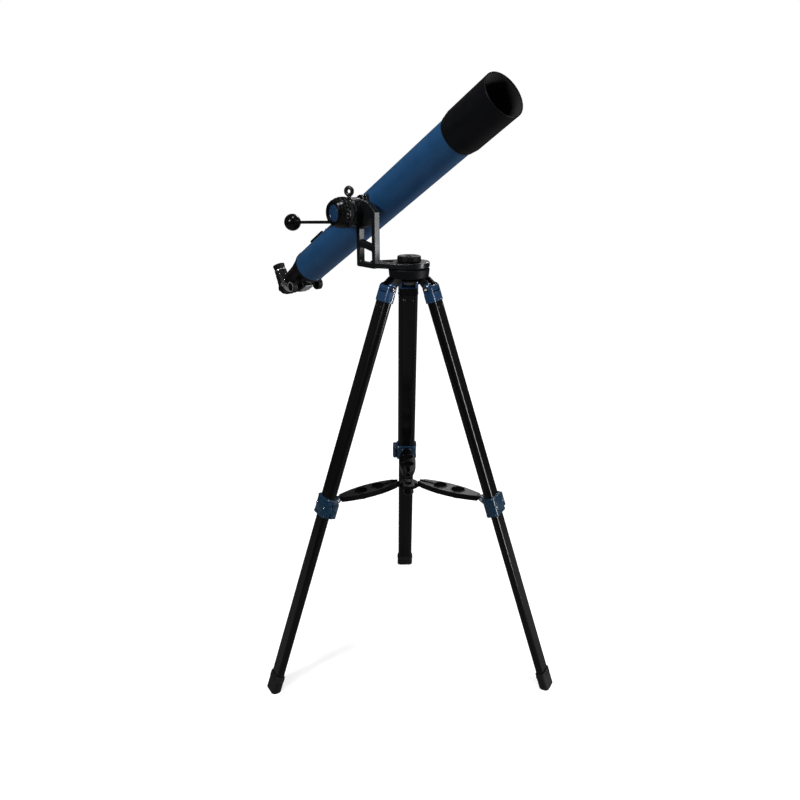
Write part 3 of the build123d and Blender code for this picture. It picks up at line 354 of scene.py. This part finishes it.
def turned(bm, origin, axis, profile, segments=32, shape=None):
    """Add a closed turned body; profile holds (height, radius) pairs from end to end."""
    across, other = side_vectors(axis)
    rings = []
    for index, (height, radius) in enumerate(profile):
        centre = origin + axis * height * MM
        if radius < 1e-6:
            rings.append([bm.verts.new(centre)])
            continue
        ring = []
        for k in range(segments):
            angle = 2 * pi * k / segments
            r = shape(angle, index, radius) if shape else radius
            ring.append(bm.verts.new(centre + (across * cos(angle) + other * sin(angle)) * r * MM))
        rings.append(ring)
    for low, high in zip(rings, rings[1:]):
        for k in range(segments):
            m = (k + 1) % segments
            if len(low) == 1:
                bm.faces.new((low[0], high[k], high[m]))
            elif len(high) == 1:
                bm.faces.new((low[k], high[0], low[m]))
            else:
                bm.faces.new((low[k], high[k], high[m], low[m]))


def turned_ring(bm, origin, axis, profile, segments=64, shape=None):
    """Add a turned ring; profile is a closed loop of (height, radius) pairs."""
    across, other = side_vectors(axis)
    rings = []
    for index, (height, radius) in enumerate(profile):
        ring = []
        for k in range(segments):
            angle = 2 * pi * k / segments
            r = shape(angle, index, radius) if shape else radius
            ring.append(bm.verts.new(
                origin + (axis * height + (across * cos(angle) + other * sin(angle)) * r) * MM
            ))
        rings.append(ring)
    skin(bm, rings + rings[:1])


def screw_head(bm, origin, axis, radius, recess="cross"):
    """Pan head with a cross or hexagon recess, sitting on a face."""
    def drive(angle, index, r):
        if index < 6:
            return r
        if recess == "hex":
            return r / cos((angle + pi / 6) % (pi / 3) - pi / 6)
        return r * (0.38 + 0.62 * abs(cos(2 * angle)) ** 2.5)

    turned(bm, origin, axis, [
        (-0.3, 0), (-0.3, radius), (0.25 * radius, radius), (0.45 * radius, 0.9 * radius),
        (0.58 * radius, 0.7 * radius), (0.62 * radius, 0.62 * radius),
        (0.62 * radius, 0.55 * radius), (0.25 * radius, 0.45 * radius), (0.25 * radius, 0),
    ], segments=24, shape=drive)


def rounded_outline(width, depth, corner, growth, steps=6):
    """Points around a rounded rectangle, grown on every side."""
    points = []
    for sx, sy, start in ((1, 1, 0), (-1, 1, 90), (-1, -1, 180), (1, -1, 270)):
        cx, cy = sx * (width / 2 - corner), sy * (depth / 2 - corner)
        for k in range(steps + 1):
            angle = radians(start + 90 * k / steps)
            r = corner + growth
            points.append((cx + r * cos(angle), cy + r * sin(angle)))
    return points


def band(bm, origin, x_dir, y_dir, z_dir, size, profile):
    """Add a ring around a rounded section; profile is a closed loop of (height, growth)."""
    rings = []
    for height, growth in profile:
        rings.append([
            bm.verts.new(origin + (x_dir * x + y_dir * y + z_dir * height) * MM)
            for x, y in rounded_outline(*size, growth)
        ])
    skin(bm, rings + rings[:1])


def rib_profile(height, inner, outer, bevel=0.5):
    """Closed section of a band with softened outer corners."""
    return [(-height / 2, inner), (height / 2, inner), (height / 2, outer - bevel),
            (height / 2 - bevel, outer), (bevel - height / 2, outer),
            (-height / 2, outer - bevel)]


def pad(bm, origin, x_dir, y_dir, z_dir, size, height, corner, bevel=0.6):
    """Add a raised pad with rounded corners and a bevelled rim."""
    rings = []
    for level, growth in ((-0.4, 0), (height - bevel, 0), (height - 0.3 * bevel, -0.3 * bevel),
                          (height, -bevel)):
        rings.append([
            bm.verts.new(origin + (x_dir * x + y_dir * y + z_dir * level) * MM)
            for x, y in rounded_outline(size[0], size[1], corner, growth)
        ])
    skin(bm, rings)
    bm.faces.new(rings[-1])
    bm.faces.new(rings[0])


def hinge_sweep(bm, leg, start, end, inner, outer, half_width, steps=12):
    """Add a curved plate around a leg's hinge; angles in degrees up from outward."""
    loops = []
    for step in range(steps + 1):
        angle = radians(start + (end - start) * step / steps)
        away = leg.outward * cos(angle) - leg.down * sin(angle)
        rim = [(inner, -half_width), (outer - 0.6, -half_width), (outer, 0.6 - half_width),
               (outer, half_width - 0.6), (outer - 0.6, half_width), (inner, half_width)]
        loops.append([
            bm.verts.new(leg.hinge + (away * radius + leg.tangent * across) * MM)
            for radius, across in rim
        ])
    join_loops(bm, loops)


def shade_shell(bm, leg, start, end, size, least, thickness):
    """Add a thin shell over the inward side of a rounded section, between two stations; in black it is a sheet of
    painted shade.
    """
    skins = [
        [(x, y) for x, y in rounded_outline(*size, growth, steps=8) if y < -least]
        for growth in (-0.2, thickness)
    ]
    section = skins[0] + skins[1][::-1]
    loops = [
        [bm.verts.new(leg.at(along, x, y)) for x, y in section]
        for along in (start, (start + end) / 2, end)
    ]
    join_loops(bm, loops)


def join_loops(bm, loops):
    """Skin matching closed loops and cap both ends."""
    skin(bm, loops)
    bm.faces.new(loops[0])
    bm.faces.new(loops[-1])


# ---------------------------------------------------------------- legs and clamps
for leg in legs:
    a, body, lower = leg.letter, f"leg_{leg.letter}", f"lower_leg_{leg.letter}"
    bm = bmesh.new()
    for side in (1, -1):
        for across in (-11, 11):
            turned(bm, leg.at(RIVETS, across, side * 12.0), leg.outward * side, [
                (-0.5, 0), (-0.5, 3.3), (0.3, 3.3), (1.0, 2.8), (1.5, 1.7), (1.7, 0),
            ], segments=24)
    finish_piece(f"leg_rivets_{a}", bm, dark_steel, body)

    bm = bmesh.new()
    for side in (1, -1):
        screw_head(bm, leg.at(0, side * 28.7, 0), leg.tangent * side, 3.6, recess="hex")
    finish_piece(f"pivot_bolt_sockets_{a}", bm, bright_steel, "tripod")

    bm = bmesh.new()
    band(bm, leg.at(BRACKET_END - 1.2), leg.tangent, leg.outward, leg.down, (49, 24, 11),
         rib_profile(2.6, -0.5, 1.3))
    finish_piece(f"bracket_lip_{a}", bm, blue_plastic, body)

    bm = bmesh.new()
    hinge_sweep(bm, leg, -72, 24, 11.3, 13.0, 17.2)
    finish_piece(f"bracket_crown_{a}", bm, blue_plastic, body)

    # Black sheet over the blue bracket's inward side: painted shade where that inner face falls in shadow.
    bm = bmesh.new()
    shade_shell(bm, leg, BRACKET_CUT, BRACKET_END, (50, 26, 8), 10.2, 0.7)
    finish_piece(f"bracket_painted_shade_{a}", bm, black_plastic, body)

    bm = bmesh.new()
    for along in COLLAR_ENDS:
        band(bm, leg.at(along), leg.tangent, leg.outward, leg.down, (57, 32, 9),
             rib_profile(3.0, -1.0, 0.9))
    pad(bm, leg.at(COLLAR_MIDDLE, 0, COLLAR_FACE), leg.tangent, leg.down, leg.outward,
        (36, 26), 1.1, 5)
    finish_piece(f"clamp_collar_ribs_{a}", bm, collar_blue, body)

    bm = bmesh.new()
    for across in (-21, 21):
        screw_head(bm, leg.at(COLLAR_MIDDLE, across, COLLAR_FACE), leg.outward, 2.4)
    finish_piece(f"clamp_collar_screws_{a}", bm, bright_steel, body)

    bm = bmesh.new()
    for step in range(6):
        pad(bm, leg.at(LEVER_RIDGES + step * 5.4, LEVER_FACE, -6), leg.down, leg.outward,
            leg.tangent, (2.2, 9), 1.9, 0.9, 0.4)
    finish_piece(f"clamp_lever_ridges_{a}", bm, collar_blue, f"clamp_lever_{a}")

    bm = bmesh.new()
    for along in FOOT_RIBS:
        band(bm, leg.at(along), leg.tangent, leg.outward, leg.down, (43.5, 19, 8.5),
             rib_profile(2.4, 1.0, 3.0 + (along - FOOT_RIBS[0]) * 0.05))
    finish_piece(f"foot_ribs_{a}", bm, foot_rubber, lower)

    bm = bmesh.new()
    for side in (1, -1):
        turned(bm, leg.at(TRAY_PIVOT, side * 11.0, -TRAY_PIVOT_INWARD), leg.tangent * side, [
            (-0.3, 0), (-0.3, 4.6), (0.9, 4.6), (1.6, 3.8), (1.8, 1.6), (1.3, 1.2), (1.3, 0),
        ], segments=28)
    finish_piece(f"tray_pin_caps_{a}", bm, bright_steel, body)

# ---------------------------------------------------------------- tray hub
tray_top = Vector((0, 0, 0.4815))                      # upper face of the hub's plate
bm = bmesh.new()
for k in range(6):
    angle = radians(LEG_BEARING + 60 * k + 30)
    screw_head(bm, tray_top + Vector((cos(angle), sin(angle), 0)) * 17 * MM, UP, 2.6)
finish_piece("tray_hub_screws", bm, dark_steel, "tray_hub")

for mount in frame["record"]["mounts"]:
    if mount["name"].startswith("tray_hole_"):
        bm = bmesh.new()
        turned_ring(bm, Vector(mount["pos_m"]), -Vector(mount["axis"]), [
            (-11.5, 16.3), (5.4, 16.3), (5.9, 16.9), (5.9, 18.2), (5.4, 18.8), (-11.1, 18.8),
            (-11.5, 18.4),
        ], 56)
        letter = mount["name"][-2]
        finish_piece(f"tray_lip_{mount['name'][-2:]}", bm, black_plastic, f"tray_arm_{letter}")

# ---------------------------------------------------------------- tube, dew shield, finder shoe
# Black band over the tube's rear end: painted shade standing in for the shaded gap between the tube and the
# focuser.
bm = bmesh.new()
turned_ring(bm, on_tube(0), tube_u, [
    (TUBE_REAR + behind, TUBE_OUTER + outside)
    for behind, outside in ((0, -0.2), (2.4, -0.2), (2.4, 0.4), (1.9, 0.8), (0.5, 0.8), (0, 0.4))
], 96)
finish_piece("tube_rear_painted_shade", bm, shield_black, "tube")

bm = bmesh.new()
lining = [(SHIELD_STEP, 48.4), (SHIELD_STEP + 100, 48.4)]
for step in range(25):
    station = 456 - 4 * step
    lining += [(station, 47.9), (station - 2, 48.3)]
turned_ring(bm, on_tube(0), tube_u, lining, 72)
finish_piece("dew_shield_lining", bm, inside_black, "tube")

bm = bmesh.new()
turned_ring(bm, on_tube(0), tube_u, [
    (456.8, 48.7), (458.3, 48.7), (SHIELD_MOUTH, 49.1), (SHIELD_MOUTH, 50.1),
    (458.1, 50.55), (456.8, 50.58),
], 96)
finish_piece("dew_shield_lip", bm, black_plastic, "tube")

bm = bmesh.new()
for station in SHOE_SCREWS:
    for side in (-11.7, 11.7):
        screw_head(bm, on_tube(station, SHOE_FACE, side), tube_w, 1.5)
finish_piece("finder_shoe_screws", bm, bright_steel, "tube")

# ---------------------------------------------------------------- focuser
bm = bmesh.new()
for along in (-15, 15):
    for side in (-10, 10):
        screw_head(bm, on_tube(PINION_COVER + along, PINION_COVER_FACE, side - 1.5),
                   -tube_w, 2.4)
finish_piece("pinion_cover_screws", bm, bright_steel, "tube")

bm = bmesh.new()
for angle in (30, 150, 270):
    outward = tube_w * sin(radians(angle)) + KNOB_SIDE * cos(radians(angle))
    screw_head(bm, on_tube(FOCUSER_SCREWS) + outward * 45.1 * MM, outward, 2.6)
finish_piece("focuser_fixing_screws", bm, bright_steel, "tube")

pinion_place = place("focus_turn")
bm = bmesh.new()
for side in (1, -1):
    turned_ring(bm, pinion_place, KNOB_SIDE * side, [
        (49.4, 11.9), (50.5, 11.9), (50.9, 12.3), (50.9, 13.9), (50.5, 14.3), (49.4, 14.3),
    ], 56)
finish_piece("focus_knob_rings", bm, satin_grey, "focus_shaft")

bm = bmesh.new()
for side in (1, -1):
    turned(bm, pinion_place, KNOB_SIDE * side, [
        (48.8, 0), (48.8, 11.0), (49.7, 11.0), (50.1, 10.4), (50.2, 5.0), (49.8, 3.0),
        (49.7, 0),
    ], 40)
finish_piece("focus_knob_caps", bm, black_plastic, "focus_shaft")

# ---------------------------------------------------------------- diagonal and eyepiece
back = (-tube_u - tube_w).normalized()
slope = (tube_u - tube_w).normalized()
bm = bmesh.new()
pad(bm, elbow + back * 11 * MM, KNOB_SIDE, slope, back, (30, 40), 1.4, 7)
finish_piece("diagonal_back_plate", bm, black_plastic, "diagonal")

bm = bmesh.new()
for side in (-11, 11):
    for along in (-15, 15):
        screw_head(bm, elbow + (back * 12.3 + KNOB_SIDE * side + slope * along) * MM, back, 1.8)
finish_piece("diagonal_back_screws", bm, bright_steel, "diagonal")


def fluted(count, depth):
    """Shape of a grip with flutes around it."""
    return lambda angle, index, r: r - depth * (0.5 + 0.5 * cos(count * angle)) ** 3


bm = bmesh.new()
turned_ring(bm, elbow, tube_w, [
    (41.0, 16.7), (41.0, 17.3), (41.6, 17.8), (52.3, 17.8), (53.0, 17.3), (53.0, 16.7),
], 180, shape=lambda angle, index, r: fluted(30, 0.7)(angle, index, r) if r > 17 else r)
finish_piece("eyepiece_grip", bm, knob_rubber, "eyepiece")

bm = bmesh.new()
turned_ring(bm, elbow, tube_w, [
    (53.1, 15.0), (53.1, 17.2), (53.5, 17.6), (54.9, 17.6), (55.3, 17.2), (55.3, 15.0),
], 96)
finish_piece("eyepiece_silver_ring", bm, aluminium, "eyepiece")

bm = bmesh.new()
turned_ring(bm, elbow, tube_w, [
    (55.4, 15.0), (55.4, 16.9), (56.0, 17.1), (58.5, 16.5), (60.2, 15.8), (60.2, 15.0),
], 96)
finish_piece("eyepiece_neck", bm, black_plastic, "eyepiece")

bm = bmesh.new()
for level in (60.5, 63.0, 65.5):
    turned_ring(bm, elbow, tube_w, [
        (level, 15.0), (level + 1.5, 15.0), (level + 1.5, 15.9 + (level - 60) * 0.24),
        (level + 0.75, 16.4 + (level - 60) * 0.24), (level, 15.9 + (level - 60) * 0.24),
    ], 64)
finish_piece("eyecup_ribs", bm, foot_rubber, "eyepiece")

# ---------------------------------------------------------------- mount
altitude = place("altitude_tilt")
bm = bmesh.new()
turned_ring(bm, altitude, KNOB_SIDE, [
    (137.5, 14.0), (138.0, 14.0), (138.3, 14.4), (138.3, 15.1), (138.0, 15.5), (137.5, 15.5),
], 64)
finish_piece("altitude_cap_ring", bm, blue_plastic, "altitude_knob")

bm = bmesh.new()
turned_ring(bm, altitude, KNOB_SIDE, [
    (103.6, 34.6), (113.4, 34.9), (113.4, 35.6), (112.6, 36.3), (104.4, 36.0), (103.6, 35.3),
], 240, shape=lambda angle, index, r: fluted(60, 0.8)(angle, index, r) if r > 35.2 else r)
finish_piece("altitude_knob_knurl", bm, knob_rubber, "altitude_knob")

bm = bmesh.new()
for level, radius in ((117.2, 35.3), (125.0, 33.6), (133.0, 30.4)):
    turned_ring(bm, altitude, KNOB_SIDE, [
        (level, radius - 1.2), (level + 1.8, radius - 1.6), (level + 1.8, radius + 0.1),
        (level + 1.3, radius + 0.7), (level + 0.5, radius + 0.8), (level, radius + 0.4),
    ], 120)
finish_piece("altitude_knob_rings", bm, gloss_black, "altitude_knob")

rod_low, rod_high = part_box("pan_handle_rod")
rod_radius = (rod_high.y - rod_low.y) / 2
rod_start = Vector((rod_high.x, (rod_low.y + rod_high.y) / 2, rod_high.z - rod_radius))
rod_end = Vector((rod_low.x, rod_start.y, rod_low.z + rod_radius))
rod_way = (rod_end - rod_start).normalized()
bm = bmesh.new()
turned_ring(bm, rod_start, rod_way, [
    (15.5, 3.9), (23.5, 3.9), (23.5, 6.0), (22.7, 6.8), (16.3, 6.8), (15.5, 6.0),
], 48, shape=lambda angle, index, r: r / cos((angle % (pi / 3)) - pi / 6) if r > 5 else r)
finish_piece("pan_handle_nut", bm, bright_steel, "cradle")

bm = bmesh.new()
knob_centre = Vector((0, 0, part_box("azimuth_knob")[1].z))
turned(bm, knob_centre, UP, [
    (-3.0, 0), (-3.0, 9.5), (-0.9, 9.5), (-0.3, 8.8), (-0.2, 4.6), (-1.2, 4.0), (-1.4, 0),
], 40)
finish_piece("azimuth_knob_cap", bm, black_plastic, "azimuth_knob")

# ---------------------------------------------------------------- stage, lights, camera
floor_mesh = bpy.data.meshes.new("floor")
floor_mesh.from_pydata([(-30, -30, 0), (30, -30, 0), (30, 30, 0), (-30, 30, 0)], [],
                       [(0, 1, 2, 3)])
floor = bpy.data.objects.new("floor", floor_mesh)
bpy.context.scene.collection.objects.link(floor)
paper = Nodes("paper_floor")
paper_where = paper.add("ShaderNodeTexCoord").outputs["Object"]
seen = paper.add("ShaderNodeLightPath").outputs["Is Camera Ray"]
pale = paper.mix(paper.noise(paper_where, 3.0), (0.80, 0.80, 0.80), (0.83, 0.83, 0.83))
paper.link(paper.mix(seen, (0.22, 0.22, 0.22), pale), paper.shader.inputs["Base Color"])
paper.shader.inputs["Roughness"].default_value = 0.85
paper.shader.inputs["Specular IOR Level"].default_value = 0.0
paper.shader.inputs["Emission Color"].default_value = (1, 1, 1, 1)
away = paper.add("ShaderNodeVectorMath")
away.operation = "LENGTH"
paper.link(paper_where, away.inputs[0])
glow = paper.fit(away.outputs["Value"], 0.8, 4.0, 0.55, 0.95)
paper.link(paper.maths("MULTIPLY", seen, glow), paper.shader.inputs["Emission Strength"])
floor_mesh.materials.append(paper.material)

world = bpy.data.worlds.new("studio")
bpy.context.scene.world = world
world.use_nodes = True
backdrop = world.node_tree.nodes["Background"]
backdrop.inputs["Color"].default_value = (1, 1, 1, 1)
camera_ray = world.node_tree.nodes.new("ShaderNodeLightPath")
level_range = world.node_tree.nodes.new("ShaderNodeMapRange")
level_range.inputs["To Min"].default_value = 0.07      # what lights the object
level_range.inputs["To Max"].default_value = 1.0       # what the camera sees
world.node_tree.links.new(camera_ray.outputs["Is Camera Ray"], level_range.inputs["Value"])
world.node_tree.links.new(level_range.outputs["Result"], backdrop.inputs["Strength"])
bpy.context.scene.view_settings.view_transform = "Standard"


def soft_light(name, position, target, width, height, power):
    """Add a rectangular lamp of some watts that faces a point."""
    lamp = bpy.data.lights.new(name, "AREA")
    lamp.shape, lamp.energy = "RECTANGLE", power
    lamp.size, lamp.size_y = width, height
    lamp_object = bpy.data.objects.new(name, lamp)
    lamp_object.location = position
    lamp_object.rotation_euler = (Vector(target) - Vector(position)).to_track_quat(
        "-Z", "Y").to_euler()
    bpy.context.scene.collection.objects.link(lamp_object)


soft_light("key_light", (0.2, -3.0, 2.6), (0, 0, 1.0), 0.9, 0.9, 78)
soft_light("edge_light", (2.3, 1.6, 0.95), (0, 0, 0.9), 0.45, 1.7, 75)
soft_light("rim_light", (-1.6, 2.2, 2.4), (0, 0, 0.9), 0.9, 0.9, 34)
soft_light("top_light", (0.3, -0.2, 3.4), (0, 0, 0.9), 0.6, 0.6, 30)

CAMERA_PLACE = (1.32759, -1.19137, 1.30805)
CAMERA_LEVEL = (-0.7525, 0.6586, 0)                    # where it looks, seen from above
CAMERA_LENS, CAMERA_SENSOR = 33.448, 36
CAMERA_DOWN, CAMERA_ROLL = 18.5288, -0.0879            # degrees

camera = bpy.data.cameras.new("camera")
camera.lens, camera.sensor_width = CAMERA_LENS, CAMERA_SENSOR
camera_object = bpy.data.objects.new("camera", camera)
bpy.context.scene.collection.objects.link(camera_object)
level = Vector(CAMERA_LEVEL).normalized()
pitch, roll = radians(CAMERA_DOWN), radians(CAMERA_ROLL)
looking = level * cos(pitch) - UP * sin(pitch)
right = looking.cross(UP).normalized()
top = right.cross(looking)
rolled_right = right * cos(roll) + top * sin(roll)
rolled_top = top * cos(roll) - right * sin(roll)
axes = Matrix((rolled_right, rolled_top, -looking)).transposed().to_4x4()
camera_object.matrix_world = Matrix.Translation(CAMERA_PLACE) @ axes
bpy.context.scene.camera = camera_object
